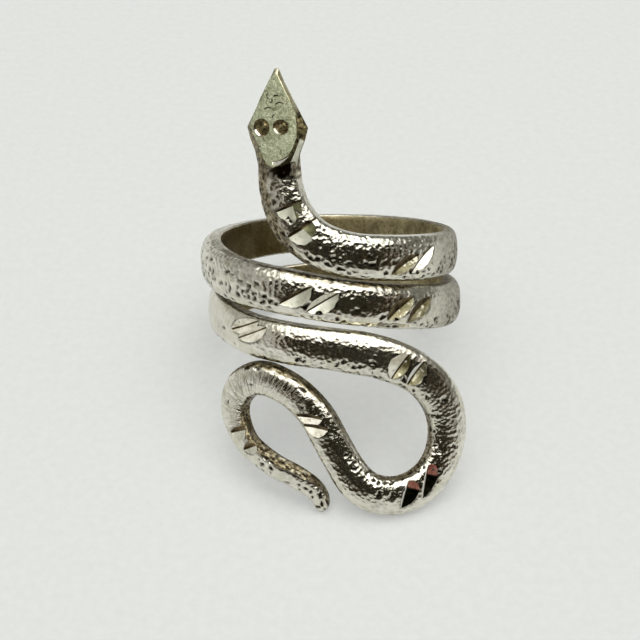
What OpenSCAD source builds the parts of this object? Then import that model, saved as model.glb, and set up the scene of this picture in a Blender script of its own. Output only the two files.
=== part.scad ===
// A finger ring in the form of a snake, bent from one half-round silver wire.
// The flat kite-shaped head stands up at the front, the body wraps the finger
// twice, and the tail runs down the front in two open loops to a round tip.
// The ring is modelled on its finger axis, with the front at -Y, and then laid
// down as it rests by itself: on the right loop, the tail's tip and the coil's back.

/* [Finger] */
// Inside diameter of the coil
finger_d = 17.6; // [17:0.1:18.2]
// Diameter of the gentler curve that the tail's loops are bent to
tail_curve_d = 32; // [28:1:40]
// Angle round the finger, from the front, where the tail leaves the coil
tail_leaves_at = -18; // [-20:1:-16]
// Distance that the tail's loops stand off the finger
tail_gap = 0.15; // [0.1:0.05:0.3]

/* [Wire] */
// Width of the half-round wire in the coil
wire_w = 3.4; // [3:0.1:3.4]
// Height of the wire's dome above the finger
wire_t = 1.4; // [1.2:0.1:1.6]
// Share of the wire's height that is a straight side wall
side_share = 0.45; // [0.2:0.05:0.6]
// Fullness of the dome, where 1 is an ellipse and less is squarer
dome_fullness = 0.85; // [0.7:0.05:1]

/* [Head] */
// Length of the kite, from its tip down to its lower corner in the neck
head_l = 6.8; // [6.5:0.1:7.4]
// Width of the kite across its side corners
head_w = 4.8; // [4.2:0.1:5.2]
// Thickness of the head at its tip
head_tip_t = 0.9; // [0.7:0.1:1.1]
// Width of the bevel round the head's flat face
head_bevel = 0.45; // [0.2:0.05:0.6]
// Outside diameter of a stamped eye
eye_d = 1.1; // [0.8:0.1:1.3]
// Share of an eye's diameter that stays as its boss
eye_boss = 0.5; // [0.3:0.05:0.6]
// Depth of an eye's ring-shaped groove
eye_depth = 0.18; // [0.1:0.02:0.3]

/* [Bright cuts] */
// Depth of a slanting cut below the crest of the dome
cut_depth = 0.25; // [0.15:0.05:0.35]
// Width of the broad bright face of a cut
cut_face_w = 1.0; // [0.7:0.1:1.2]
// Width of the steep face of a cut
cut_steep_w = 0.25; // [0.1:0.05:0.4]

/* [Rest] */
// Lean of the finger axis backwards from upright
lean_back = 34.1; // [25:0.1:40]
// Roll of the leaning ring to its right
side_roll = 0.2; // [-10:0.1:10]

/* [Hidden] */

finger_r = finger_d / 2;
tail_r = tail_curve_d / 2;

// The coil: one row per place round the finger, from the first strand at the
// front, twice over the back, to where the tail leaves. The angle counts from
// the front to the right, the height is that of the wire's middle, and width
// and thick are shares of wire_w and wire_t.
coil = [
  // angle, height, width, thick
  [ 20,  0.88, 0.98, 1.00],
  [ 50,  0.48, 1.00, 0.93],
  [ 90,  0.15, 0.97, 0.82],
  [150,  0.05, 0.94, 1.00],
  [210, -0.05, 0.94, 1.07],
  [270, -0.50, 1.00, 1.18],
  [310, -1.20, 1.00, 1.14],
  [340, -1.65, 1.00, 1.04],
  [370, -2.38, 0.97, 1.00],
  [400, -3.10, 0.99, 1.00],
  [430, -3.70, 1.00, 1.04],
  [460, -3.95, 1.00, 1.07],
  [500, -3.85, 0.97, 1.04],
  [540, -4.08, 0.94, 1.00],
  [575, -4.42, 0.94, 0.90],
  [610, -4.52, 0.97, 0.82],
  [655, -4.74, 0.95, 0.82],
  [680, -5.22, 0.94, 0.93],
  [702, -5.52, 0.92, 1.00]
];

// The neck, one row per bend, from the coil's first place up into the head:
// the bend's run along the wire, its turn to the left, and the width, the
// thickness and the downward lean of the wire's face at its end.
neck = [
  // run, turn, width, thick, lean
  [2.0,  -8, 0.96, 1.00, 0],
  [2.1, -14, 0.97, 1.00, 0],
  [2.1, -26, 1.00, 1.00, 0],
  [2.0, -20, 0.97, 1.00, 0],
  [1.5, -12, 0.92, 1.00, 0],
  [3.0,  -6, 0.88, 1.00, 0]
];

// The tail, one row per bend, from the coil's last place to the tip
tail = [
  // run, turn, width, thick, lean
  [2.7,   0, 0.91, 1.00,  0],
  [2.1,  -4, 0.94, 1.00,  0],
  [4.0, -21, 0.91, 1.00,  0],
  [4.0, -40, 0.88, 1.00,  0],
  [4.5, -48, 0.82, 1.00,  5],
  [3.5, -48, 0.88, 1.00,  9],
  [2.5, -40, 0.85, 1.00,  9],
  [1.6, -27, 0.82, 1.00,  5],
  [1.6,  -9, 0.79, 0.96,  0],
  [2.8,  -1, 0.79, 0.93,  0],
  [2.5,  21, 0.76, 0.93,  0],
  [2.7,  27, 0.76, 0.93,  0],
  [1.2,  28, 0.76, 0.93,  0],
  [2.7,  58, 0.71, 0.86,  0],
  [2.1,  47, 0.65, 0.86,  5],
  [2.2,  30, 0.59, 0.86, 20],
  [2.8,  12, 0.59, 0.86, 30],
  [1.8, -18, 0.56, 0.79, 30],
  [1.5, -27, 0.44, 0.71, 20],
  [0.9, -30, 0.34, 0.64, 10],
  [0.4,   0, 0.18, 0.40, 10]
];

// The bright cuts, in slanting pairs. The slant is the angle from the wire's
// run to the line of the cut, and length is how far that line may reach; the
// broad face lies to the right of the line.
coil_cuts = [
  // angle, across, slant, length
  [ 32.5, -0.45, 34, 3.0],
  [ 42,   -0.2,  43, 2.8],
  [345,    0.25, 38, 2.8],
  [356,   -0.25, 41, 3.0],
  [390,   -0.1,  43, 3.2],
  [400,   -0.15, 44, 3.2],
  [678,    0.8,  28, 3.2],
  [683,    0.4,  29, 3.2]
];
neck_cuts = [
  // along from the coil's first place, across, slant, length
  [5.7, 0.65, 75, 2.2],
  [7.6, 0.8,  90, 1.9]
];
tail_cuts = [
  // along from the coil's last place, across, slant, length
  [ 7.8,  0.0,   78, 2.2],
  [ 8.8,  0.05,  86, 2.2],
  [18.7, -0.5,   40, 3.2],
  [20.4, -0.4,   62, 3.0],
  [29.7,  0.4, -126, 2.0],
  [30.5,  0.3, -131, 2.0],
  [41.1,  0.4,   73, 1.7],
  [42.7,  0.6,   58, 1.8]
];

// Steps and margins of the construction
bend_step = 12;     // most degrees between sections in a bend
run_step = 1.6;     // most millimetres between sections
coil_step = 7.75;   // degrees between sections in the coil
dome_points = 11;   // points across the dome
bore_overlap = 0.3; // how far the wire reaches into the finger before it is bored
bored_run = 3.6;    // run of the tail that is still bored with the coil
fade_run = 3;       // run after that over which the tail comes off the finger
nudge = 0.01;       // small step that gives directions along the wire
cut_clear = 4;      // how many times the cut's depth its wedge stands high
head_sink = 1.9;    // how far the head's lower corner lies below the neck's end
head_root = [1.6, 0.8]; // where the kite's lower edges meet the neck: half width, height
face_root = [1.3, 1.4]; // the same on the head's flat face
plate_below = 0.4;  // how far the head's plate reaches into the neck below its face
under_edge = 0.1;   // chamfer under the head's edge
under_root = [1.5, 0.8]; // where the lower edges meet the neck under that chamfer
face_above = 1.05;  // height of the plate before its face is filed, as a share of wire_t

// Smooth curve through column c of a table whose first column is x
function row_slope(t, c, i) =
  let (lo = max(i - 1, 0), hi = min(i + 1, len(t) - 1))
  (t[hi][c] - t[lo][c]) / (t[hi][0] - t[lo][0]);
function row_before(t, x) = max([for (i = [0:len(t) - 2]) if (i == 0 || t[i][0] <= x) i]);
function smooth(t, c, x) =
  let (i = row_before(t, x), h = t[i + 1][0] - t[i][0], f = (x - t[i][0]) / h)
  (1 + 2 * f) * pow(1 - f, 2) * t[i][c] + f * pow(1 - f, 2) * h * row_slope(t, c, i)
  + f * f * (3 - 2 * f) * t[i + 1][c] + f * f * (f - 1) * h * row_slope(t, c, i + 1);

// A place on the course is [round, up, heading, width, thick, lean, on_tail]:
// round and up are millimetres on the unrolled coil, and heading is the
// direction of the run there, in degrees from round towards up.
function arc_of(a) = a * PI / 180 * finger_r;
function coil_place(a) =
  let (lo = max(a - 1, first_angle), hi = min(a + 1, last_angle))
  [arc_of(a), smooth(coil, 1, a), atan2(smooth(coil, 1, hi) - smooth(coil, 1, lo), arc_of(hi - lo)),
   smooth(coil, 2, a), smooth(coil, 3, a), 0, false];

// Place after share f of a bend that starts at place p
function along_bend(p, bend, f) =
  let (h = p[2], turn = bend[1] * f, run = bend[0] * f,
       r = bend[1] == 0 ? 0 : bend[0] / (bend[1] * PI / 180))
  [p[0] + (r == 0 ? run * cos(h) : r * (sin(h + turn) - sin(h))),
   p[1] + (r == 0 ? run * sin(h) : r * (cos(h) - cos(h + turn))),
   h + turn,
   p[3] + (bend[2] - p[3]) * f, p[4] + (bend[3] - p[4]) * f, p[5] + (bend[4] - p[5]) * f, p[6]];
function bend_starts(p0, bends) =
  [for (i = 0, p = p0; i < len(bends); p = along_bend(p, bends[i], 1), i = i + 1) p];
function bend_steps(bend) = max(ceil(bend[0] / run_step), ceil(abs(bend[1]) / bend_step));
function course(p0, bends) =
  let (starts = bend_starts(p0, bends))
  [for (i = [0:len(bends) - 1], k = [1:bend_steps(bends[i])])
    along_bend(starts[i], bends[i], k / bend_steps(bends[i]))];

// Place at a distance along a course of bends
function run_before(bends, i) = i == 0 ? 0 : run_before(bends, i - 1) + bends[i - 1][0];
function place_along(p0, bends, s) =
  let (i = max([for (k = [0:len(bends) - 1]) if (run_before(bends, k) <= s) k]))
  along_bend(bend_starts(p0, bends)[i], bends[i], (s - run_before(bends, i)) / bends[i][0]);

first_angle = coil[0][0];
last_angle = coil[len(coil) - 1][0];
coil_steps = round((last_angle - first_angle) / coil_step);
coil_places = [for (k = [0:coil_steps]) coil_place(first_angle + (last_angle - first_angle) * k / coil_steps)];

// The neck is followed from the coil up to the head, against the body's run
function reversed(p) = [p[0], p[1], p[2] + 180, p[3], p[4], p[5], p[6]];
neck_start = reversed(coil_places[0]);
neck_places = course(neck_start, neck);
neck_count = len(neck_places);
coil_end = coil_places[coil_steps];
tail_start = [0, coil_end[1], coil_end[2], coil_end[3], coil_end[4], 0, true];
tail_places = course(tail_start, tail);
places = concat(
  [for (k = [neck_count - 1:-1:0]) reversed(neck_places[k])],
  coil_places,
  tail_places
);
last = len(places) - 1;

// Point on the finger's surface, or on the tail's gentler one, at a distance out
tail_axis = (finger_r - tail_r) * [sin(tail_leaves_at), -cos(tail_leaves_at)];
function on_finger(round, up, out) =
  let (a = round / finger_r * 180 / PI)
  [(finger_r + out) * sin(a), -(finger_r + out) * cos(a), up];
function on_tail(round, up, out) =
  let (a = tail_leaves_at + round / tail_r * 180 / PI,
       off = out + tail_gap * min(1, max(0, (tail_start[1] - up) / fade_run)))
  [tail_axis[0] + (tail_r + off) * sin(a), tail_axis[1] - (tail_r + off) * cos(a), up];
function skin(p, out) = p[6] ? on_tail(p[0], p[1], out) : on_finger(p[0], p[1], out);

// Frame of a place: [origin, along, across, outward], with the lean turned in
// and the origin raised so that the leaning wire stays off the finger
function unit(v) = v / norm(v);
function ahead(p) =
  [p[0] + nudge * cos(p[2]), p[1] + nudge * sin(p[2]), p[2], p[3], p[4], p[5], p[6]];
function frame(p) =
  let (n0 = unit(skin(p, 1) - skin(p, 0)), t0 = skin(ahead(p), 0) - skin(p, 0),
       t = unit(t0 - (t0 * n0) * n0), m = n0 * cos(p[5]) - [0, 0, sin(p[5])],
       n = unit(m - (m * t) * t))
  [skin(p, 0) + n0 * norm(n - n0) * p[3] * wire_w / 2, t, cross(n, t), n];

// The wire's half-round section as [across, outward] points
function dome_curve(x) = sign(x) * pow(abs(x), dome_fullness);
function section(w, t, inset) = concat(
  [[w / 2, -inset]],
  [for (k = [0:dome_points - 1])
    let (a = 180 * k / (dome_points - 1))
    [w / 2 * dome_curve(cos(a)), t * (side_share + (1 - side_share) * dome_curve(sin(a)))]],
  [[-w / 2, -inset]]
);
// How far a place reaches into the finger before it is bored: the coil does so
// all round, and the tail only where it leaves the coil
function off_coil(p) = !p[6] ? 0 : p[1] < tail_start[1] - wire_w / 2 ? 1 : (p[0] - bored_run) / fade_run;
function inset_at(p) = bore_overlap * (1 - min(1, max(0, off_coil(p))));
function section_at(p) =
  let (f = frame(p))
  [for (q = section(p[3] * wire_w, p[4] * wire_t, inset_at(p))) f[0] + f[2] * q[0] + f[3] * q[1]];
body_sections = [for (p = places) section_at(p)];

// The head's outlines on the plane at the end of the neck: x is to the right,
// y up from where the flat face runs into the neck, z outward from the finger
head_place = places[0];
head_angle = head_place[0] / finger_r * 180 / PI;
head_bottom = neck_places[neck_count - 1][1] - head_sink;
corner_y = head_l * 0.39;
function kite(inset, root, bottom, z) = [
  [0, head_l - inset * 1.4, z],
  [-head_w / 2 + inset, corner_y, z],
  [-root[0], root[1], z],
  [0, bottom, z],
  [root[0], root[1], z],
  [head_w / 2 - inset, corner_y, z]
];
edge_low = tail_gap + under_edge;
edge_high = head_tip_t * 0.7;
head_layers = [
  kite(under_edge, under_root, -plate_below, tail_gap),
  kite(0, head_root, -plate_below, edge_low),
  kite(0, head_root, -plate_below, edge_high),
  kite(head_bevel, face_root, 0, wire_t * face_above)
];
face_fall = atan((wire_t - head_tip_t) / head_l);
eye_places = [[-0.75, corner_y + 0.1], [0.75, corner_y + 0.2]];

// The boring passes every strand of the coil and the neck, and the tail where it leaves them
bore_low = tail_start[1] - wire_w * 0.85;
bore_high = head_bottom + head_l;

// How the ring lies: the middle and the lowest point of its box as it rests
function leaned(q) =
  let (back = q[1] * cos(lean_back) + q[2] * sin(lean_back),
       up = q[2] * cos(lean_back) - q[1] * sin(lean_back))
  [q[0] * cos(side_roll) + up * sin(side_roll), back, up * cos(side_roll) - q[0] * sin(side_roll)];
function head_point(q) =
  [cos(head_angle) * q[0] + sin(head_angle) * (finger_r + q[2]),
   sin(head_angle) * q[0] - cos(head_angle) * (finger_r + q[2]), head_bottom + q[1]];
rest_points = concat(
  [for (ring = body_sections, q = ring) leaned(q)],
  [for (layer = head_layers, q = layer) leaned(head_point(q))]
);
function low(c) = min([for (q = rest_points) q[c]]);
function high(c) = max([for (q = rest_points) q[c]]);
rest_origin = [(low(0) + high(0)) / 2, (low(1) + high(1)) / 2, low(2)];

// Places of all the bright cuts, each with its offset across, slant and length
cut_places = concat(
  [for (c = coil_cuts) [coil_place(c[0]), c[1], c[2], c[3]]],
  [for (c = neck_cuts) [reversed(place_along(neck_start, neck, c[0])), c[1], c[2], c[3]]],
  [for (c = tail_cuts) [place_along(tail_start, tail, c[0]), c[1], c[2], c[3]]]
);

// Height and slope of the dome at an offset across
function dome_height(p, x) =
  let (share = min(1, abs(x) / (p[3] * wire_w / 2)))
  p[4] * wire_t * (side_share + (1 - side_share) * pow(1 - pow(share, 2 / dome_fullness), dome_fullness / 2));
function dome_slope(p, x) = atan((dome_height(p, x + nudge) - dome_height(p, x - nudge)) / (2 * nudge));

// Closed solid through rings of points, all with the same count
module loft(rings) {
  n = len(rings[0]);
  m = len(rings) - 1;
  walls = [for (i = [0:m - 1], k = [0:n - 1])
    let (a = i * n + k, b = i * n + (k + 1) % n)
    each [[a, b + n, b], [a, a + n, b + n]]];
  caps = [[for (k = [0:n - 1]) k], [for (k = [n - 1:-1:0]) m * n + k]];
  polyhedron(points = [for (ring = rings, q = ring) q], faces = concat(walls, caps), convexity = 10);
}

module body() {
  loft(body_sections);
}

// Puts a child drawn on the head's plane where the head is
module on_head() {
  rotate([0, 0, head_angle])
    translate([0, -finger_r, head_bottom])
      rotate([90, 0, 0])
        children();
}

module head_plate() {
  on_head() loft(head_layers);
}

// What is filed away above the head's flat face, which falls towards the tip
module face_filing() {
  on_head() translate([-head_w, 0, wire_t]) rotate([-face_fall, 0, 0]) cube([2 * head_w, 2 * head_l, wire_t]);
}

// Ring-shaped groove of one stamped eye, with its boss left standing
module eye(x, y) {
  on_head() translate([0, 0, wire_t]) rotate([-face_fall, 0, 0]) translate([x, y, -eye_depth])
    difference() {
      cylinder(d = eye_d, h = wire_t, $fn = 32);
      cylinder(d = eye_d * eye_boss, h = wire_t, $fn = 32);
    }
}

// Wedge that cuts one slanting facet into the dome
module bright_cut(p, across, slant, length) {
  f = frame(p);
  o = f[0] + f[2] * across + f[3] * dome_height(p, across);
  top = cut_depth * cut_clear;
  multmatrix([
    [f[1][0], f[2][0], f[3][0], o[0]],
    [f[1][1], f[2][1], f[3][1], o[1]],
    [f[1][2], f[2][2], f[3][2], o[2]],
    [0, 0, 0, 1]
  ])
    rotate([dome_slope(p, across), 0, 0]) rotate([0, 0, slant])
      translate([-length / 2, 0, -cut_depth]) rotate([90, 0, 90])
        linear_extrude(length)
          polygon([[0, 0], [cut_steep_w * cut_clear, top], [-cut_face_w, top], [-cut_face_w, cut_depth]]);
}

module ring() {
  difference() {
    union() {
      body();
      head_plate();
    }
    translate([0, 0, bore_low]) cylinder(r = finger_r, h = bore_high - bore_low, $fn = 96);
    face_filing();
    for (e = eye_places) eye(e[0], e[1]);
    for (c = cut_places) bright_cut(c[0], c[1], c[2], c[3]);
  }
}

module snake_ring() {
  color("silver") translate(-rest_origin) rotate([0, side_roll, 0]) rotate([-lean_back, 0, 0]) ring();
}

snake_ring();
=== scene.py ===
import math
from collections import namedtuple

import bmesh
import bpy
from mathutils import Matrix, Vector, noise


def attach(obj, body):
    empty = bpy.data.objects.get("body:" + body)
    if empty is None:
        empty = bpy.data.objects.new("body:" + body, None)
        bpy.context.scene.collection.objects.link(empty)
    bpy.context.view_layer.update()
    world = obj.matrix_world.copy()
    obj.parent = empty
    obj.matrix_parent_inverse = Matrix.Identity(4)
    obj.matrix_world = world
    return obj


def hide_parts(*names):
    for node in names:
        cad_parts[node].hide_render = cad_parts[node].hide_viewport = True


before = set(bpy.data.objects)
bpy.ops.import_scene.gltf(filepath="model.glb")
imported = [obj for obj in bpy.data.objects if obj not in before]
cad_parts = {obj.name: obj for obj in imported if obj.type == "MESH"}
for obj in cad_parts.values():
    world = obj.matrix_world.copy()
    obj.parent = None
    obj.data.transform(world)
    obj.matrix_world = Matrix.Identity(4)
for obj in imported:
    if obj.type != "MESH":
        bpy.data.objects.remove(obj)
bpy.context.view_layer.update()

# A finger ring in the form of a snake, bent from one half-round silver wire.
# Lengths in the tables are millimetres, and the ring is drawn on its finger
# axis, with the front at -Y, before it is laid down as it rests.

MM = 0.001

FINGER_R = 8.8
TAIL_R = 16.0
TAIL_LEAVES = math.radians(-18)
TAIL_GAP = 0.15
WIRE_W = 3.4
WIRE_T = 1.4
SIDE_SHARE = 0.45
DOME_FULLNESS = 0.85
EDGE_ROUND = 0.12
LEAN_BACK = math.radians(34.1)
SIDE_ROLL = math.radians(0.2)
BORED_RUN = 3.6
FADE_RUN = 3.0

# The coil's places: angle round the finger, height, and shares of width and thickness
COIL = (
    # angle, height, width, thick
    (20, 0.88, 0.98, 1),
    (50, 0.48, 1, 0.93),
    (90, 0.15, 0.97, 0.82),
    (150, 0.05, 0.94, 1),
    (210, -0.05, 0.94, 1.07),
    (270, -0.5, 1, 1.18),
    (310, -1.2, 1, 1.14),
    (340, -1.65, 1, 1.04),
    (370, -2.38, 0.97, 1),
    (400, -3.1, 0.99, 1),
    (430, -3.7, 1, 1.04),
    (460, -3.95, 1, 1.07),
    (500, -3.85, 0.97, 1.04),
    (540, -4.08, 0.94, 1),
    (575, -4.42, 0.94, 0.9),
    (610, -4.52, 0.97, 0.82),
    (655, -4.74, 0.95, 0.82),
    (680, -5.22, 0.94, 0.93),
    (702, -5.52, 0.92, 1),
)

# The neck's bends, from the coil up into the head
NECK = (
    # run, turn, width, thick, lean
    (2, -8, 0.96, 1, 0),
    (2.1, -14, 0.97, 1, 0),
    (2.1, -26, 1, 1, 0),
    (2, -20, 0.97, 1, 0),
    (1.5, -12, 0.92, 1, 0),
    (1.3, -2.6, 0.9, 0.95, 0),
    (1.7, -3.4, 0.88, 0.6, 0),
)

# The tail's bends, from the coil down to the tip
TAIL = (
    # run, turn, width, thick, lean
    (2.7, 0, 0.91, 1, 0),
    (2.1, -4, 0.94, 1, 0),
    (4, -21, 0.91, 1, 0),
    (4, -40, 0.88, 1, 0),
    (4.5, -48, 0.82, 1, 5),
    (3.5, -48, 0.88, 1, 9),
    (2.5, -40, 0.85, 1, 9),
    (1.6, -27, 0.82, 1, 5),
    (1.6, -9, 0.79, 0.96, 0),
    (2.8, -1, 0.79, 0.93, 0),
    (2.5, 21, 0.76, 0.93, 0),
    (2.7, 27, 0.76, 0.93, 0),
    (1.2, 28, 0.76, 0.93, 0),
    (2.7, 58, 0.71, 0.86, 0),
    (2.1, 47, 0.65, 0.86, 5),
    (2.2, 30, 0.59, 0.86, 20),
    (2.8, 12, 0.59, 0.86, 30),
    (1.8, -18, 0.56, 0.79, 30),
    (1.5, -27, 0.44, 0.71, 20),
    (0.9, -30, 0.34, 0.64, 10),
    (0.4, 0, 0.18, 0.4, 10),
)

# The bright cuts: where, how far across, the slant of the line, its length and
# depth, the widths of the broad and the steep face, half the width of the dark
# line between them, and the finish of each
COIL_CUTS = (
    # angle, across, slant, length, depth, broad, steep, line, broad finish, steep finish
    (32.5, -0.38, 34, 3.3, 0.33, 0.65, 0.7, 0.05, "olive cut", "groove"),
    (42, 0, 43, 3.6, 0.35, 0.6, 0.35, 0.05, "cut", "groove"),
    (345, 0.12, 38, 3.2, 0.32, 1.25, 0.22, 0.06, "matt cut", "groove"),
    (356, -0.15, 41, 3.4, 0.33, 1, 0.5, 0.06, "matt cut", "pale cut"),
    (390, -0.02, 43, 3.4, 0.33, 0.65, 0.8, 0.06, "olive cut", "groove"),
    (400, -0.08, 44, 3.4, 0.33, 0.65, 0.75, 0.06, "olive cut", "groove"),
    (678, 0.8, 28, 3.7, 0.36, 0.8, 0.6, 0.07, "pale cut", "pale cut"),
    (683, 0.4, 29, 3.5, 0.36, 0.8, 0.5, 0.06, "pale cut", "pale cut"),
)
NECK_CUTS = (
    # along, across, slant, length, depth, broad, steep, line, broad finish, steep finish
    (7.65, 0.5, 90, 2.8, 0.2, 1.4, 0.1, 0.06, "matt cut", "groove"),
    (7.75, 0.95, 92, 2.8, 0.19, 1.4, 0.1, 0.05, "shaded cut", "groove"),
    (5.75, 0.35, 79, 3.5, 0.22, 1.5, 0.18, 0.08, "matt cut", "groove"),
    (5.7, 0.8, 82, 2.6, 0.25, 1.4, 0.18, 0.06, "shaded cut", "groove"),
    (5.6, 1.42, 84, 1.2, 0.16, 1, 0.1, 0.04, "pale cut", "groove"),
)
TAIL_CUTS = (
    # along, across, slant, length, depth, broad, steep, line, broad finish, steep finish
    (7.75, 0, 78, 3, 0.32, 0.55, 1.1, 0.06, "olive cut", "pale cut"),
    (8.95, 0.05, 84, 2.9, 0.29, 0.75, 0.42, 0.07, "olive cut", "edge cut"),
    # The next two broad faces are painted dark as a reflection of the dark room
    (18.9, -0.6, -140, 3.8, 0.28, 1.3, 0.26, 0.03, "dark cut", "edge cut"),
    (20.75, -0.58, -120, 4.2, 0.29, 1.5, 0.26, 0.03, "dark cut", "edge cut"),
    (29.7, 0.4, -126, 2.3, 0.28, 0.75, 0.3, 0.09, "pale cut", "groove"),
    (30.6, 0.3, -131, 2.3, 0.28, 0.75, 0.3, 0.08, "pale cut", "groove"),
    (41.1, 0.4, 73, 1.9, 0.24, 0.6, 0.35, 0.08, "matt cut", "groove"),
    (42.7, 0.6, 58, 1.9, 0.24, 0.6, 0.35, 0.08, "matt cut", "groove"),
)

# How dark the silver is right round a cut
OUTLINE = 0.75
# How far a cutter stands out of the wire, how much wider than its facet it is,
# and how much flatter than the wheel that would just reach the cut's ends
CUTTER_TOP = 0.25
BROAD_OVER = 1.6
WHEEL_FLATNESS = 0.72

# How the wire's finish changes along it, from the coil's first place: punch
# dents, dark pits, strokes across the wire, the tarnish of the upper and of
# the lower side wall, how dull the silver is, and how dark the tarnish
FINISH = (
    # along, dents, pits, strokes, upper, lower, dull, crust
    (-10.1, 0, 0.2, 0, 0.3, 2, 0.3, 0),
    (-9.6, 1, 0.1, 0, 0.3, 1.9, 0.3, 0.2),
    (-8.5, 1, 0.3, 0, 0.3, 1.9, 0.3, 0.2),
    (-6.5, 0.9, 0.6, 0, 0.3, 1.9, 0.3, 0.2),
    (-3.5, 1, 0.6, 0, 0.3, 1.3, 0.2, 0.2),
    (3, 1, 0.4, 0, 0.2, 0.5, 0.1, 0.4),
    (5.5, 0.4, 0.8, 0, 0.2, 0.5, 0.9, 0.4),
    (9, 0.4, 1, 0.1, 0.5, 1, 1.2, 0.4),
    (14, 0.5, 1, 0.1, 0.5, 1, 1.3, 0.4),
    (20, 0.5, 0.2, 0, 0.5, 0.5, 0.4, 0.4),
    (36, 1, 0.4, 0.2, 0.4, 0.6, 0.1, 0.4),
    (41, 1, 1, 0.1, 0.6, 0.9, 0.1, 0.4),
    (46, 1, 1, 0, 1.1, 0.8, 0.3, 0.8),
    (50, 0.9, 0.8, 0, 1.42, 0.8, 0.2, 0.8),
    (57, 0.9, 0.4, 0, 1.42, 0.8, 0.1, 0.8),
    (62, 0.4, 0.9, 0, 0.6, 0.6, 1, 0.4),
    (67, 0.3, 0.8, 0.1, 0.4, 0.8, 1.3, 0.4),
    (80, 0.5, 0.2, 0, 0.5, 0.5, 0.4, 0.4),
    (94, 0.6, 0.3, 0.1, 0.6, 0.6, 0.2, 0.4),
    (98, 0.4, 0.3, 0.1, 0.8, 0.5, 0.4, 0.4),
    (101, 0.3, 0.1, 0.2, 0.9, 0.4, 0.2, 0.4),
    (104.5, 0.9, 0.3, 0, 0.8, 0.6, 0.1, 0.4),
    (111, 0.8, 0.7, 0, 0.3, 0.7, 0.3, 0.4),
    (116, 0.6, 0.7, 0, 0.2, 1, 0.3, 0.4),
    (122, 0.8, 0.6, 0, 0.2, 1.1, 0.1, 0.4),
    (126, 0.9, 0.5, 0.05, 0.3, 1, 0.2, 0.4),
    (130, 0.9, 0.4, 0.05, 0.5, 0.9, 0.2, 0.4),
    (135, 0.7, 0.3, 0.25, 0.4, 1.3, 0.1, 0.9),
    (139, 0.4, 0.2, 0.6, 0.6, 1.5, 0.1, 0.8),
    (142, 0.3, 0.1, 0.7, 1.3, 1.4, 0.15, 0.8),
    (146, 0.3, 0.1, 0.5, 1.55, 0.4, 0.15, 0.8),
    (150, 0.4, 0.8, 0.2, 1.45, 0.4, 0.3, 0.7),
    (155, 0.5, 1, 0.1, 1.2, 0.4, 0.3, 0.5),
    (160, 0.6, 0.9, 0, 0.8, 0.5, 0.3, 0.3),
)
# How far up the dome the pits reach, as a share of its half width
PITS_REACH = (
    # along, share
    (-9, 0.2),
    (-7, 0.8),
    (-2, 0.8),
    (1, 0.2),
    (5, 0.2),
    (9, 0.6),
    (14, 0.6),
    (18, 0.2),
    (34, 0.2),
    (38, 0.45),
    (43, 0.55),
    (49, 0.2),
    (60, 0.2),
    (66, 0.5),
    (70, 0.2),
    (90, 0.2),
    (94, 0.5),
    (98, 0.2),
)
# How far a mark lies from its cell's middle, and its form
MARK_SCATTER = 0.36
MARK_LONG = 0.78
MARK_NARROW = 1.2
DENT_SIZE = 0.38
DENT_DEPTH = 0.06
COARSE_DENT_SIZE = 0.56
COARSE_BEFORE = -8.0
DENT_REACH = 0.52
# Between which shares of the dome's half width the dents run out
DENTS_END = (0.86, 0.62)
# Along the wire, where the dents grow shallower and darker towards the tail
TAIL_DENTS = (104.0, 110.0)
TAIL_SHALLOWER = 0.45
DENT_STAIN = 0.5
TAIL_STAIN = 0.35
PIT_SIZE = 0.56
PIT_DEPTH = 0.10
ALL_PITTED_FROM = 147.0
STROKE_DEPTH = 0.03
STROKE_SLANT = math.radians(12)
WAVE_DEPTH = 0.035
# The painted shade under the chin, near-black on the neck: how far up the neck, and from where across
PAINTED_CHIN_SHADE = (-9.9, -0.3, 0.1)

# The head: a kite-shaped plate with a flat face and two stamped eyes. One row
# per corner, from the tip round to the right: the plate's rim, then the face's.
HEAD_EDGE = (
    # rim x, rim y, face x, face y
    (-0.14, 6.74, -0.12, 6.36),
    (0.14, 6.74, 0.16, 6.36),
    (0.6, 5.8, 0.53, 5.76),
    (1.25, 4.64, 1.19, 4.61),
    (1.9, 3.52, 1.68, 3.75),
    (2.4, 2.65, 1.82, 2.85),
    (2.14, 1.75, 1.85, 2.05),
    (1.8, 0.95, 1.56, 1.28),
    (1.62, 0.2, 1.16, 0.66),
    (1.5, -0.5, 0.58, 0.08),
    (0, -0.6, 0, -0.14),
    (-1.5, -0.5, -0.5, 0.15),
    (-1.62, 0.2, -0.88, 0.75),
    (-1.8, 0.95, -1.2, 1.45),
    (-2.14, 1.75, -1.6, 2.15),
    (-2.4, 2.65, -1.85, 2.8),
    (-1.9, 3.52, -1.62, 3.48),
    (-1.25, 4.64, -1.14, 4.6),
    (-0.6, 5.8, -0.52, 5.74),
)
HEAD_L = 6.8
HEAD_TIP_T = 0.9
HEAD_SINK = 1.9
HEAD_MIDDLE = 3.0
UNDER_SHARE = 0.84
RIM_LOW = 0.48
RIM_HIGH = 0.62
# Where the neck's pale shoulder runs on over the plate's lower right bevel
NECK_SHOULDER = 0.55
PLAIN_SHOULDER = 0.12
SHOULDER_BELOW = 1.9
SHOULDER_LEVEL = 2
HEAD_SOFTENED = 0.045
# Edges that turn by more than this are softened on the head, and crisp in a cut
SHARP_TURN = 0.35
EYES = (
    # x, y, size, stretch, share of its rim given a bright finish as a painted highlight, finish of
    # that share
    (-0.9, 2.68, 1.34, 1, 0.34, "cut"),
    (0.62, 2.74, 1.12, 1.18, 0.2, "matt cut"),
)
EYE_TILT = math.radians(9)
EYE_STAMP = (
    # out from its middle as a share of its radius, height
    (0, -0.02), (0.2, -0.03), (0.38, -0.07), (0.5, -0.14), (0.58, -0.21), (0.66, -0.23),
    (0.74, -0.2), (0.86, -0.1), (1, 0.02), (1.05, 0.5), (0, 0.5),
)
EYE_BOSS = 0.52
EYE_RIM = 0.86
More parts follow.
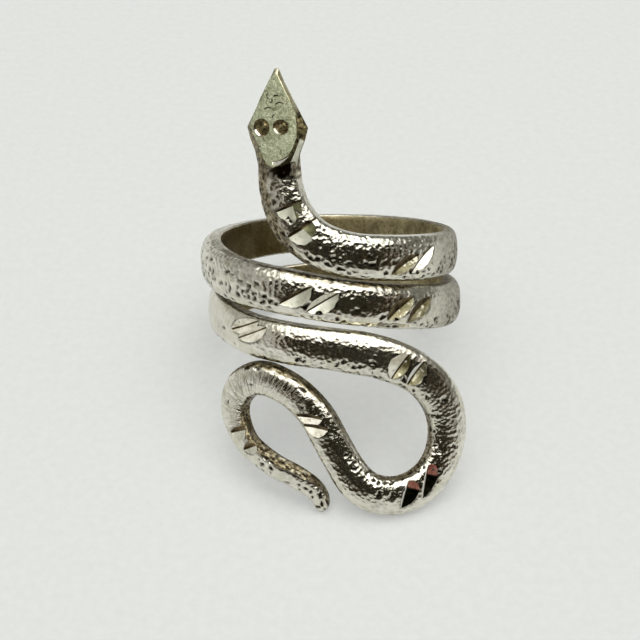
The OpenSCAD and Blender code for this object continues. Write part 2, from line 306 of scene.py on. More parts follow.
# Heights above the floor between which the head's edges go from a painted highlight to painted shade
PAINTED_HIGHLIGHT_FROM = 25.3
PAINTED_SHADE_FROM = 24.6
# How far left of the head's middle its edges carry painted shade at any height
PAINTED_SHADE_LEFT = 0.25
# Between the widest corners and the chin the edges lose their pale specks
CORNER_Y = 2.2
CHIN_Y = 0.9
PAINTED_HIGHLIGHT_SIDE = math.radians(228)
SCRATCH_DEPTH = 0.07
SCRATCH_TOP = 0.08
SCRATCH_INNER = 0.09
SCRATCHES = (
    # x, y, radius, from, sweep, outer width, inner finish, outer finish
    (-0.42, 4.85, 0.17, 100, 170, 0.14, "groove", "face"),
    (-0.3, 4.55, 0.16, -100, 150, 0.14, "groove", "matt cut"),
    (0.16, 4.7, 0.2, 30, 120, 0.14, "face", "groove"),
    (-0.45, 3.75, 0.3, 40, 110, 0.12, "matt cut", "groove"),
    (0.45, 3.95, 0.45, 50, 80, 0.12, "face", "groove"),
    (0.1, 3.35, 0.2, 100, 100, 0.12, "groove", "face"),
    (-0.95, 1.6, 0.3, 190, 80, 0.12, "groove", "face"),
    (-0.55, 1.95, 0.25, 160, 100, 0.12, "groove", "face"),
    (-0.16, 2.48, 2.22, -86, 36, 0.52, "groove", "cut"),
)

# Finishes straight from the file
FILED = {
    # finish: material, dark, light, smoothest, roughest, bare, stained, worn
    "cut": ("bright cut silver", (0.76, 0.76, 0.66), (0.92, 0.91, 0.83), 0.12, 0.22, 1.0, 0.55, 0),
    "matt cut": ("matt cut silver", (0.60, 0.61, 0.48), (0.92, 0.91, 0.80), 0.34, 0.48, 1.0, 0.55, 0),
    "olive cut": ("olive cut silver", (0.085, 0.074, 0.034), (0.34, 0.315, 0.20),
                  0.30, 0.42, 1.0, 0.55, 0.8),
    "shaded cut": ("shaded cut silver", (0.025, 0.027, 0.012), (0.17, 0.17, 0.095),
                   0.24, 0.36, 1.0, 0.55, 0),
    "pale cut": ("pale cut silver", (0.62, 0.58, 0.45), (0.96, 0.94, 0.85), 0.50, 0.65, 0.85, 0.8, 0),
    "edge cut": ("white edge silver", (0.84, 0.83, 0.76), (0.97, 0.97, 0.93), 0.45, 0.55, 0.6, 0.3, 0),
    "groove": ("tarnished groove", (0.035, 0.024, 0.009), (0.20, 0.15, 0.08),
               0.25, 0.40, 1.0, 0.55, 0),
}
# Sideways positions between which the inside of the coil goes from dark to pale
BAND_DARK_X = -4
BAND_PALE_X = 6

# The studio's bright top: where it is, and how wide with and without its edge
TOP_LIGHT = (0.10, -0.22, 0.97)
TOP_EDGE = math.radians(58)
TOP_CORE = math.radians(20)
# The dark part of the room, as it shows in the silver
DARK_RISE = math.radians(25)
DARK_HEIGHT = math.radians(24)
DARK_TURN = math.radians(10)
DARK_WIDTH = math.radians(67)

FINE_STEP = 0.1
PLAIN_STEP = 0.25
DOME_STEPS = 40
BAND_STEPS = 7
# Stretches of the coil, in degrees, whose marks show at the front or the sides
FINE_COIL = ((20, 80), (275, 450), (635, 702))

Place = namedtuple("Place", "round up heading width thick lean on_tail")


def clamp(x, low=0.0, high=1.0):
    return min(high, max(low, x))


def ease(x, start, end):
    """0 before start, 1 after end, smooth between; start may be the larger."""
    f = clamp((x - start) / (end - start))
    return f * f * (3 - 2 * f)


def row_before(table, x):
    rows = [i for i in range(len(table) - 1) if table[i][0] <= x]
    return rows[-1] if rows else 0


def row_slope(table, column, i):
    low, high = max(i - 1, 0), min(i + 1, len(table) - 1)
    return (table[high][column] - table[low][column]) / (table[high][0] - table[low][0])


def smooth(table, column, x):
    """Smooth curve through a column of a table whose first column is x."""
    i = row_before(table, x)
    h = table[i + 1][0] - table[i][0]
    f = (x - table[i][0]) / h
    return (
        (1 + 2 * f) * (1 - f) ** 2 * table[i][column]
        + f * (1 - f) ** 2 * h * row_slope(table, column, i)
        + f * f * (3 - 2 * f) * table[i + 1][column]
        + f * f * (f - 1) * h * row_slope(table, column, i + 1)
    )


def between(table, x):
    """All columns of a table at x, in straight lines between its rows."""
    i = row_before(table, x)
    f = clamp((x - table[i][0]) / (table[i + 1][0] - table[i][0]))
    return [a + (b - a) * f for a, b in zip(table[i][1:], table[i + 1][1:])]


# The course of the wire, on the unrolled coil

def coil_place(angle):
    low, high = max(angle - 1, COIL[0][0]), min(angle + 1, COIL[-1][0])
    rise = smooth(COIL, 1, high) - smooth(COIL, 1, low)
    heading = math.atan2(rise, math.radians(high - low) * FINGER_R)
    return Place(math.radians(angle) * FINGER_R, smooth(COIL, 1, angle), heading,
                 smooth(COIL, 2, angle), smooth(COIL, 3, angle), 0.0, False)


def along_bend(place, bend, share):
    run, turn = bend[0] * share, math.radians(bend[1]) * share
    h = place.heading
    if abs(turn) < 1e-9:
        over, up = run * math.cos(h), run * math.sin(h)
    else:
        radius = run / turn
        over = radius * (math.sin(h + turn) - math.sin(h))
        up = radius * (math.cos(h) - math.cos(h + turn))
    width, thick, lean = (
        start + (end - start) * share
        for start, end in zip((place.width, place.thick, place.lean), bend[2:])
    )
    return Place(place.round + over, place.up + up, h + turn, width, thick, lean, place.on_tail)


def course(start, bends, step):
    places = []
    for bend in bends:
        count = math.ceil(bend[0] / step)
        places += [along_bend(start, bend, (k + 1) / count) for k in range(count)]
        start = places[-1]
    return places


def place_along(start, bends, distance):
    for bend in bends:
        if distance <= bend[0]:
            return along_bend(start, bend, distance / bend[0])
        distance -= bend[0]
        start = along_bend(start, bend, 1)
    return start


def reversed_place(place):
    return place._replace(heading=place.heading + math.pi)


coil_start, coil_end = coil_place(COIL[0][0]), coil_place(COIL[-1][0])
neck_start = reversed_place(coil_start)
tail_start = coil_end._replace(round=0.0, on_tail=True)
neck_end = place_along(neck_start, NECK, sum(bend[0] for bend in NECK))
TAIL_AXIS = (
    (FINGER_R - TAIL_R) * math.sin(TAIL_LEAVES),
    -(FINGER_R - TAIL_R) * math.cos(TAIL_LEAVES),
)


def skin(place, out):
    """Point over the finger, or over the tail's gentler curve, at a distance out."""
    if place.on_tail:
        a = TAIL_LEAVES + place.round / TAIL_R
        r = TAIL_R + out + TAIL_GAP * clamp((tail_start.up - place.up) / FADE_RUN)
        return Vector((TAIL_AXIS[0] + r * math.sin(a), TAIL_AXIS[1] - r * math.cos(a), place.up))
    a = place.round / FINGER_R
    r = FINGER_R + out
    return Vector((r * math.sin(a), -r * math.cos(a), place.up))


def wire_frame(place):
    """Origin under the wire, and directions along, across and outward there."""
    nudge = 0.01
    base = skin(place, 0)
    over_finger = (skin(place, 1) - base).normalized()
    ahead = place._replace(
        round=place.round + nudge * math.cos(place.heading),
        up=place.up + nudge * math.sin(place.heading),
    )
    step = skin(ahead, 0) - base
    along = (step - over_finger * step.dot(over_finger)).normalized()
    lean = math.radians(place.lean)
    outward = over_finger * math.cos(lean) - Vector((0, 0, math.sin(lean)))
    outward = (outward - along * outward.dot(along)).normalized()
    origin = base + over_finger * ((outward - over_finger).length * place.width * WIRE_W / 2)
    return origin, along, outward.cross(along), outward


def dome_height(place, across):
    share = min(1.0, abs(across) / (place.width * WIRE_W / 2))
    crown = (1 - share ** (2 / DOME_FULLNESS)) ** (DOME_FULLNESS / 2)
    return place.thick * WIRE_T * (SIDE_SHARE + (1 - SIDE_SHARE) * crown)


def dome_slope(place, across, nudge=0.01):
    rise = dome_height(place, across + nudge) - dome_height(place, across - nudge)
    return math.atan2(rise, 2 * nudge)


# How the ring lies

def rest_turn():
    return Matrix.Rotation(SIDE_ROLL, 4, "Y") @ Matrix.Rotation(-LEAN_BACK, 4, "X")


# The wire's section: offset across, height, and the distance round the outside
# from the crest, each for a wire of a width and a thickness

def section(width, thick):
    half, shoulder = width / 2, thick * SIDE_SHARE
    rise = thick - shoulder
    corner = min(EDGE_ROUND, half * 0.4, shoulder * 0.5)
    dome = []
    for k in range(DOME_STEPS + 1):
        a = math.pi * k / DOME_STEPS
        c, s = math.cos(a), max(0.0, math.sin(a))
        x = math.copysign(abs(c) ** DOME_FULLNESS, c) * half
        dome.append((x, shoulder + rise * s ** DOME_FULLNESS))
    wall = [(half, corner + (shoulder - corner) * k / 3) for k in (1, 2)]
    turn = [(half - corner + corner * math.sin(a), corner - corner * math.cos(a))
            for a in (0.0, math.pi / 4, math.pi / 2)]
    right = turn + wall
    left = [(-x, y) for x, y in reversed(right)]
    band = [(-(half - corner) * (1 - 2 * k / (BAND_STEPS + 1)), 0.0)
            for k in range(1, BAND_STEPS + 1)]
    return right + dome + left + band


ROUND_STEPS = len(section(WIRE_W, WIRE_T))
OUTSIDE_STEPS = ROUND_STEPS - BAND_STEPS


def against_finger(point, height, place, weight):
    """Draws the wire's foot in to the round of the finger."""
    low = place.thick * WIRE_T * SIDE_SHARE
    share = weight * clamp(1 - height / low)
    if share == 0:
        return point
    radius = math.hypot(point.x, point.y)
    wanted = radius + (FINGER_R + height - radius) * share
    return Vector((point.x * wanted / radius, point.y * wanted / radius, point.z))


def wire_places():
    """Places all along the wire, from the head's end of the neck to the tip."""
    neck = course(neck_start, NECK, FINE_STEP)
    coil, angle = [], COIL[0][0]
    while angle < COIL[-1][0]:
        coil.append(coil_place(angle))
        fine = any(low - 5 < angle < high for low, high in FINE_COIL)
        angle += math.degrees((FINE_STEP if fine else PLAIN_STEP) / FINGER_R)
    coil.append(coil_end)
    tail = course(tail_start, TAIL, FINE_STEP)
    return [reversed_place(p) for p in reversed(neck)] + coil + tail, len(neck)


def nearest_mark(u, v, seed):
    """Distance to the nearest of scattered, slightly long marks, and its own number."""
    near, number = 9.0, 0.0
    for i in (-1, 0, 1):
        for j in (-1, 0, 1):
            cell = Vector((math.floor(u) + i + 0.5, math.floor(v) + j + 0.5, seed))
            shift = noise.cell_vector(cell)
            x = u - cell.x - MARK_SCATTER * (2 * shift.x - 1)
            y = v - cell.y - MARK_SCATTER * (2 * shift.y - 1)
            a = math.pi * shift.z
            x, y = x * math.cos(a) + y * math.sin(a), y * math.cos(a) - x * math.sin(a)
            distance = math.hypot(x * MARK_LONG, y * MARK_NARROW)
            if distance < near:
                near, number = distance, shift.z
    return near, number


def hammered(along, across, half_round):
    """How deep the punch marks and pits are there, and how dark a hollow is."""
    dents, pits, strokes = between(FINISH, along)[:3]
    side = abs(across) / half_round
    # punch dents, close together over the middle of the dome
    size = COARSE_DENT_SIZE if along < COARSE_BEFORE else DENT_SIZE
    near, number = nearest_mark(along / size, across / size, 3.5)
    uneven = 0.8 + 0.9 * noise.noise(Vector((along * 0.9, across * 0.9, 7.7)))
    dent = max(0.0, 1 - (near / DENT_REACH) ** 2) * (0.55 + 0.45 * number)
    dent *= clamp(dents * uneven) * ease(side, *DENTS_END)
    dent *= 1 - TAIL_SHALLOWER * ease(along, *TAIL_DENTS)
    # strokes of a graver across the wire
    bent = along + 0.12 * across * across
    line = max(0.0, noise.noise(Vector((bent / 0.22, across / 0.8, 5.0))))
    depth = DENT_DEPTH * dent * size / DENT_SIZE
    depth += STROKE_DEPTH * strokes * ease(side, 0.95, 0.6) * line
    # pits of many sizes, in clusters, mostly below the middle
    place = across / half_round
    reach = between(PITS_REACH, along)[0]
    band = ease(place, -0.94, -0.78) * ease(place, reach, reach - 0.55)
    if along > ALL_PITTED_FROM:
        band = ease(side, 0.92, 0.75)
    cluster = clamp(0.6 + 1.4 * noise.noise(Vector((along * 0.7, across * 0.9, 31.0))))
    near, number = nearest_mark(along / PIT_SIZE, across / PIT_SIZE, 11.5)
    near *= 1 + 0.7 * noise.noise(Vector((along * 4.0, across * 4.0, 17.0)))
    wide = 0.24 + 0.22 * ((number * 7.3) % 1.0)
    pit = ease(near, wide, wide * 0.5) if number < 1.2 * pits * band * cluster else 0.0
    # slow unevenness of the forging
    wave = 0.5 + 0.5 * noise.noise(Vector((along * 0.55, across * 0.5, 1.3)))
    depth += PIT_DEPTH * pit + WAVE_DEPTH * wave * ease(side, 1.0, 0.7)
    stained = DENT_STAIN + TAIL_STAIN * ease(along, *TAIL_DENTS)
    return depth, max(pit, stained * dent)


def tarnish_at(along, across, height, place):
    """How tarnished the wire is there: its side walls, more or less."""
    upper, lower = between(FINISH, along)[3:5]
    thick = place.thick * WIRE_T
    ragged = 0.12 * noise.noise(Vector((along * 2.2, across * 2.2, 51.0)))
    wall = ease(height / thick + ragged, 0.60, 0.46)
    patch = 0.85 + 0.4 * noise.noise(Vector((along * 0.8, across * 1.5, 21.0)))
    share = upper if across > 0 else lower
    # a share over 1 spreads from the wall over the side of the dome
    side = 2 * abs(across) / (place.width * WIRE_W)
    edge = 1.2 - max(0.0, share - 1)
    over_dome = ease(side + ragged, edge, edge + 0.16)
    return clamp(max(wall, over_dome) * min(1.0, share) * patch)


def section_of(place):
    return section(place.width * WIRE_W, place.thick * WIRE_T)


def wire_ring(place):
    """Points of the wire's section at a place, drawn in to the finger's round."""
    origin, _, across, outward = wire_frame(place)
    weight = 1.0
    if place.on_tail:
        low = place.up < tail_start.up - WIRE_W / 2
        weight = 0.0 if low else clamp(1 - place.round / BORED_RUN)
    return [against_finger(origin + across * x + outward * y, y, place, weight)
            for x, y in section_of(place)]


def outside_distance(place):
    """Distance round the outside of the section from the crest, left to right."""
    points = section_of(place)[:OUTSIDE_STEPS]
    arc = [0.0]
    for p, q in zip(points, points[1:]):
        arc.append(arc[-1] + math.dist(p, q))
    return [arc[-1] / 2 - a for a in arc]


def bent_wire(places, rings, first):
    """A flat strip bent round to the wire's form, closed, and hammered."""
    bm = bmesh.new()
    bmesh.ops.create_grid(bm, x_segments=len(places) - 1, y_segments=ROUND_STEPS, size=1.0)
    # The second map holds tarnish and dark marks, and also the painted shade under the chin
    maps = [bm.loops.layers.uv.new(name) for name in ("course", "wear", "marks", "strokes")]
    sink = bm.verts.layers.float.new("sink")
    run = [0.0]
    for a, b in zip(places, places[1:]):
        step = math.hypot(b.round - a.round, b.up - a.up)
        run.append(run[-1] + (step if a.on_tail == b.on_tail else 0.0))
    start = run[first]
    across_at = [outside_distance(place) for place in places]
    heights = [[y for _, y in section_of(place)] for place in places]
    spot, marks = {}, {}
    for vert in bm.verts:
        i = round((vert.co.x + 1) / 2 * (len(places) - 1))
        k = round((vert.co.y + 1) / 2 * ROUND_STEPS)
        spot[vert] = (i, k)
        vert.co = rings[i][k % ROUND_STEPS]
        along = run[i] - start
        if k >= OUTSIDE_STEPS:
            share = (k - OUTSIDE_STEPS) / BAND_STEPS
            marks[vert] = ((along / 100, share / 100),) + ((0.0, 0.0),) * 3
            continue
        across = across_at[i][k]
        depth, pit = hammered(along, across, across_at[i][0])
        vert[sink] = depth * clamp((run[-1] - run[i]) / 1.0, 0.3)
        tarnish = tarnish_at(along, across, heights[i][k], places[i])
        finish = between(FINISH, along)
        fine = finish[0] * ease(abs(across) / across_at[i][0], *DENTS_END)
        if not places[i].on_tail:
            uneven = ease(finish[0], 0.75, 0.95)
            fine *= 1 - 0.65 * uneven * ease(across, 0.5, -0.5)
        ragged = 0.8 * noise.noise(Vector((along * 3.2, across * 3.2, 41.0)))
        # Painted shade under the chin: near-black through the pit share and brown through the tarnish
        # share, on the neck just below the head
        chin = ease(along + ragged, PAINTED_CHIN_SHADE[0] + 0.12, PAINTED_CHIN_SHADE[0] - 0.12)
        chin_shade_across = ease(across + ragged, *PAINTED_CHIN_SHADE[1:]) + 0.5 * ease(across + ragged, -1.5, -1.1)
        pit = max(pit, chin * min(1.0, chin_shade_across) * ease(across + 0.5 * ragged, 1.6, 1.3))
        tarnish = max(tarnish, 0.9 * chin * (1 - pit))
        strokes = finish[2] * ease(abs(across) / across_at[i][0], 0.8, 0.5)
        marks[vert] = ((along / 100, across / 100), (tarnish, pit), (fine, finish[5]),
                       (strokes, finish[6]))
    for face in bm.faces:
        inside = max(spot[v][1] for v in face.verts) >= OUTSIDE_STEPS
        face.material_index = FINISHES.index("band") if inside else FINISHES.index("wire")
        face.smooth = True
        for loop in face.loops:
            for layer, pair in zip(maps, marks[loop.vert]):
                loop[layer].uv = pair
    bmesh.ops.remove_doubles(bm, verts=bm.verts, dist=1e-4)
    ends = [edge for edge in bm.edges if edge.is_boundary]
    bmesh.ops.holes_fill(bm, edges=ends, sides=0)
    bmesh.ops.recalc_face_normals(bm, faces=bm.faces)
    bm.normal_update()
    shifts = [(vert, vert.normal * vert[sink]) for vert in bm.verts]
    for vert, shift in shifts:
        vert.co -= shift
    return bm


def finish_faces(faces, finish_at):
    """Gives each face the finish that belongs at its middle."""
    for face in faces:
        face.material_index = FINISHES.index(finish_at(face.calc_center_median()))


# The head, drawn on its own plane: x to the right, y up from where its face
# runs into the neck, z outward from the finger

def face_height(y):
    return WIRE_T - (WIRE_T - HEAD_TIP_T) * y / HEAD_L


def head_rings():
    """Rings of points from the head's underside up to the rim of its face."""
    outside = [(x, y) for x, y, _, _ in HEAD_EDGE]
    under = [(x * UNDER_SHARE, HEAD_MIDDLE + (y - HEAD_MIDDLE) * UNDER_SHARE) for x, y in outside]
    face = [(x, y, face_height(y)) for _, _, x, y in HEAD_EDGE]
    ridge = []
    for (x, y), (face_x, face_y, height) in zip(outside, face):
        share = NECK_SHOULDER if x > 0 and y < SHOULDER_BELOW else PLAIN_SHOULDER
        ridge.append((x + (face_x - x) * share, y + (face_y - y) * share,
                      RIM_HIGH + (height - RIM_HIGH) * share))
    return (
        [(x, y, TAIL_GAP) for x, y in under],
        [(x, y, RIM_LOW) for x, y in outside],
        [(x, y, RIM_HIGH) for x, y in outside],
        ridge,
        face,
    )


HEAD_RINGS = head_rings()
FACE_FALL = math.atan((WIRE_T - HEAD_TIP_T) / HEAD_L)
head_angle = neck_end.round / FINGER_R
ON_HEAD = (
    Matrix.Rotation(head_angle, 4, "Z")
    @ Matrix.Translation((0, -FINGER_R, neck_end.up - HEAD_SINK))
    @ Matrix.Rotation(math.radians(90), 4, "X")
)
ON_FACE = ON_HEAD @ Matrix.Translation((0, 0, WIRE_T)) @ Matrix.Rotation(-FACE_FALL, 4, "X")


def head_plate():
    """Kite-shaped plate bridged from ring to ring, with softened edges."""
    bm = bmesh.new()
    loops = []
    for ring in HEAD_RINGS:
        verts = [bm.verts.new(p) for p in ring]
        loops.append([bm.edges.new((a, b)) for a, b in zip(verts, verts[1:] + verts[:1])])
    for level, (lower, upper) in enumerate(zip(loops, loops[1:])):
        sides = bmesh.ops.bridge_loops(bm, edges=lower + upper)["faces"]
        finish_faces(sides, lambda middle: "matt cut" if level == SHOULDER_LEVEL
                     and middle.x > 0 and middle.y < SHOULDER_BELOW else "bevel")
    for loop, kind in ((loops[0], "bevel"), (loops[-1], "face")):
        finish_faces(bmesh.ops.edgeloop_fill(bm, edges=loop)["faces"], lambda middle: kind)
    bmesh.ops.recalc_face_normals(bm, faces=bm.faces)
    soft = [e for e in bm.edges if e.calc_face_angle(0.0) > SHARP_TURN]
    bmesh.ops.bevel(bm, geom=soft, offset=HEAD_SOFTENED, segments=2, profile=0.5,
                    affect="EDGES", clamp_overlap=True, material=-1)
    bmesh.ops.transform(bm, matrix=ON_HEAD, verts=bm.verts)
    return bm


# Tools that cut into the wire

def turned(profile, steps, centre, axis, angle):
    """Solid turned from an outline: all round, or an arc with capped ends."""
    bm = bmesh.new()
    full = abs(angle - math.tau) < 1e-6
    verts = [bm.verts.new(p) for p in profile]
    edges = [bm.edges.new((a, b)) for a, b in zip(verts, verts[1:])]
    if not full:
        edges.append(bm.edges.new((verts[-1], verts[0])))
        start = Matrix.Rotation(-angle / 2, 3, axis)
        bmesh.ops.rotate(bm, verts=verts, cent=centre, matrix=start)
    bmesh.ops.spin(bm, geom=verts + edges, cent=centre, axis=axis, angle=angle, steps=steps,
                   use_merge=full)
    bmesh.ops.remove_doubles(bm, verts=bm.verts, dist=1e-5)
    ends = [edge for edge in bm.edges if edge.is_boundary]
    if ends:
        bmesh.ops.holes_fill(bm, edges=ends, sides=0)
    bmesh.ops.recalc_face_normals(bm, faces=bm.faces)
    return bm


def eye_stamp(x, y, size, stretch, highlight_share, highlight_finish):
    """Round stamp of one eye, pressed in deeper at its bright side, where a share of its rim takes a
    bright finish as a painted highlight.
    """
    r = size / 2
    outline = [(out * r, 0, height) for out, height in EYE_STAMP]
    bm = turned(outline, 48, (0, 0, 0), (0, 0, 1), math.tau)

    def finish_at(middle):
        turn = math.atan2(middle.y, middle.x) - PAINTED_HIGHLIGHT_SIDE
        aside = abs((turn + math.pi) % math.tau - math.pi)
        out = math.hypot(middle.x, middle.y) / r
        # The rim's share at the bright side takes a bright finish: a painted highlight
        lit = out > EYE_RIM and aside < highlight_share * math.pi
        return highlight_finish if lit else "bevel" if out < EYE_BOSS else "eye"

    finish_faces(bm.faces, finish_at)
    lean = Vector((-math.sin(PAINTED_HIGHLIGHT_SIDE), math.cos(PAINTED_HIGHLIGHT_SIDE), 0))
    bmesh.ops.transform(bm, verts=bm.verts, matrix=ON_FACE @ Matrix.Translation((x, y, 0))
                        @ Matrix.Rotation(EYE_TILT, 4, lean)
                        @ Matrix.Diagonal((stretch, 1, 1, 1)))
    return bm


def scratch(x, y, radius, start, sweep, outer, inner_finish, outer_finish):
    """Small curved scratch in the head's face."""
    outline = [(radius, 0, -SCRATCH_DEPTH), (radius + outer, 0, SCRATCH_TOP),
               (radius - SCRATCH_INNER, 0, SCRATCH_TOP)]
    bm = turned(outline, 16, (0, 0, 0), (0, 0, 1), math.radians(sweep))
    finish_faces(bm.faces, lambda middle: outer_finish if math.hypot(middle.x, middle.y) > radius
                 else inner_finish)
    bmesh.ops.transform(bm, verts=bm.verts, matrix=ON_FACE @ Matrix.Translation((x, y, 0))
                        @ Matrix.Rotation(math.radians(start + sweep / 2), 4, "Z"))
    return bm


def bright_cut(place, across, slant, length, depth, broad, steep, line, broad_finish,
               steep_finish):
    """Wheel-shaped wedge that cuts one slanting facet into the dome."""
    radius = length * length / 8 / (depth * WHEEL_FLATNESS)
    top = depth + CUTTER_TOP
    outline = [(0, -line, -depth), (0, line, -depth), (0, steep * top / depth, top - depth),
               (0, -broad * BROAD_OVER, top - depth), (0, -broad * BROAD_OVER, depth * 0.6)]
    reach = min(1.2, 1.25 * length / 2 / radius)
    bm = turned(outline, 48, (0, 0, radius - depth), (0, 1, 0), 2 * reach)
    finish_faces(bm.faces, lambda middle: "groove" if abs(middle.y) < line / 2
                 else broad_finish if middle.y < 0 else steep_finish)
    grain = bm.loops.layers.uv.new("course")
    for loop in (loop for face in bm.faces for loop in face.loops):
        loop[grain].uv = (loop.vert.co.x / 100, loop.vert.co.y / 100)
    origin, along, side, outward = wire_frame(place)
    base = origin + side * across + outward * dome_height(place, across)
    frame_there = Matrix((along, side, outward)).transposed().to_4x4()
    bmesh.ops.transform(bm, verts=bm.verts, matrix=Matrix.Translation(base) @ frame_there
                        @ Matrix.Rotation(dome_slope(place, across), 4, "X")
                        @ Matrix.Rotation(math.radians(slant), 4, "Z"))
    return bm


def all_cuts():
    cuts = [(coil_place(c[0]),) + c[1:] for c in COIL_CUTS]
    cuts += [(reversed_place(place_along(neck_start, NECK, c[0])),) + c[1:] for c in NECK_CUTS]
    cuts += [(place_along(tail_start, TAIL, c[0]),) + c[1:] for c in TAIL_CUTS]
    return [bright_cut(*cut) for cut in cuts]


# Joining and cutting

def joined(forms):
    """Several forms in one bmesh."""
    bm = bmesh.new()
    for form in forms:
        mesh = bpy.data.meshes.new("form")
        form.to_mesh(mesh)
        form.free()
        bm.from_mesh(mesh)
        bpy.data.meshes.remove(mesh)
    return bm


def as_object(name, bm, finishes):
    mesh = bpy.data.meshes.new(name)
    bm.to_mesh(mesh)
    bm.free()
    for finish in finishes:
        mesh.materials.append(finish)
    made = bpy.data.objects.new(name, mesh)
    bpy.context.scene.collection.objects.link(made)
    return made


def worked(work, tools):
    """The work's mesh once each tool is joined to it or has cut into it."""
    for tool, operation in tools:
        change = work.modifiers.new(tool.name, "BOOLEAN")
        change.operation = operation
        change.solver = "EXACT"
        change.object = tool
    bpy.context.view_layer.update()
    seen = work.evaluated_get(bpy.context.evaluated_depsgraph_get())
    mesh = bpy.data.meshes.new_from_object(seen)
    for old in [work] + [tool for tool, _ in tools]:
        bpy.data.objects.remove(old)
    return mesh


def crisp(mesh):
    """Smooth metal with crisp edges between the wire and what is cut into it."""
    bm = bmesh.new()
    bm.from_mesh(mesh)
    wire, band = FINISHES.index("wire"), FINISHES.index("band")
    tarnish_and_shade_map = bm.loops.layers.uv["wear"]
    touching = [
        face for face in bm.faces
        if face.material_index == wire and any(
            other.material_index not in (wire, band)
            for vert in face.verts for other in vert.link_faces)
    ]
    for vert in {vert for face in touching for vert in face.verts}:
        dark = OUTLINE * clamp(0.5 + 1.8 * noise.noise(vert.co * 1.7))
        for loop in vert.link_loops:
            if loop.face.material_index == wire:
                loop[tarnish_and_shade_map].uv.y = max(loop[tarnish_and_shade_map].uv.y, dark)
    for face in bm.faces:
        face.smooth = True
    for edge in bm.edges:
        kinds = {face.material_index for face in edge.link_faces}
        if kinds <= {wire, band}:
            continue
        if len(kinds) > 1 or edge.calc_face_angle(0.0) > SHARP_TURN:
            edge.smooth = False
    bm.to_mesh(mesh)
    bm.free()


# Finishes

def add(tree, kind, inputs=(), **settings):
    """A node with its settings, and its inputs set or joined."""
    made = tree.nodes.new("ShaderNode" + kind)
    for key, value in settings.items():
        setattr(made, key, value)
    for socket, value in dict(inputs).items():
        if isinstance(value, bpy.types.NodeSocket):
            tree.links.new(value, made.inputs[socket])
        else:
            made.inputs[socket].default_value = value
    return made


def new_finish(name):
    material = bpy.data.materials.new(name)
    material.use_nodes = True
    tree = material.node_tree
    tree.nodes.clear()
    return material, tree


def parts(tree, vector):
    """The separate numbers of a vector."""
    return add(tree, "SeparateXYZ", {0: vector}).outputs


def mapped(tree, name):
    """What one of the wire's maps holds."""
    return add(tree, "UVMap", uv_map=name).outputs["UV"]


def on_course(tree, along_scale, across_scale, shift=0.0, slant=0.0):
    """Millimetres along and across the wire, times a scale each way."""
    place = mapped(tree, "course")
    if slant:
        place = add(tree, "Mapping", {"Vector": place, "Rotation": (0, 0, slant)}).outputs["Vector"]
    return add(tree, "Mapping", {
        "Vector": place,
        "Location": (shift, shift * 0.7, 0),
        "Scale": (100 * along_scale, 100 * across_scale, 1),
    }).outputs["Vector"]


def in_space(tree, scale):
    """Millimetres in the ring's own space, times a scale."""
    place = add(tree, "TexCoord").outputs["Object"]
    return add(tree, "Mapping", {"Vector": place, "Scale": (1000 * scale,) * 3}).outputs["Vector"]


def ramp(tree, value, start, end, low=0.0, high=1.0, kind="LINEAR"):
    """Goes from low to high as the value goes from start to end."""
    return add(tree, "MapRange", {
        "Value": value, "From Min": start, "From Max": end, "To Min": low, "To Max": high,
    }, interpolation_type=kind).outputs[0]


def spread(tree, share, low, high):
    """Goes from low to high as the share goes from 0 to 1."""
    return ramp(tree, share, 0.0, 1.0, low, high)


def soft_ramp(tree, value, start, end):
    """Goes smoothly from 0 to 1 as the value goes from start to end."""
    return ramp(tree, value, start, end, kind="SMOOTHSTEP")


def grey_noise(tree, vector, detail=2.0, roughness=0.5, low=0.3, high=0.7):
    cloud = add(tree, "TexNoise", {"Vector": vector, "Scale": 1.0, "Detail": detail,
                                   "Roughness": roughness})
    return ramp(tree, cloud.outputs["Fac"], low, high)


def mixed(tree, share, *colours):
    """Two colours mixed by a share."""
    ends = [c + (1.0,) if isinstance(c, tuple) else c for c in colours]
    return add(tree, "Mix", {0: share, 6: ends[0], 7: ends[1]}, data_type="RGBA").outputs[2]


def math_of(tree, operation, *values):
    """Math over two or more values, in turn."""
    total = values[0]
    for value in values[1:]:
        total = add(tree, "Math", {0: total, 1: value}, operation=operation).outputs[0]
    return total


def times(tree, *values):
    return math_of(tree, "MULTIPLY", *values)


def bumped(tree, height, strength, distance, under=None):
    inputs = {"Height": height, "Strength": strength, "Distance": distance * MM}
    if under is not None:
        inputs["Normal"] = under
    return add(tree, "Bump", inputs).outputs["Normal"]


def metal(tree, base, roughness, normal, bare=1.0):
    """Metal, all bare or with a share of it under a matt film."""
    shader = add(tree, "BsdfPrincipled", {
        "Base Color": base, "Metallic": bare, "Roughness": roughness, "Normal": normal,
    })
    add(tree, "OutputMaterial", {"Surface": shader.outputs["BSDF"]})


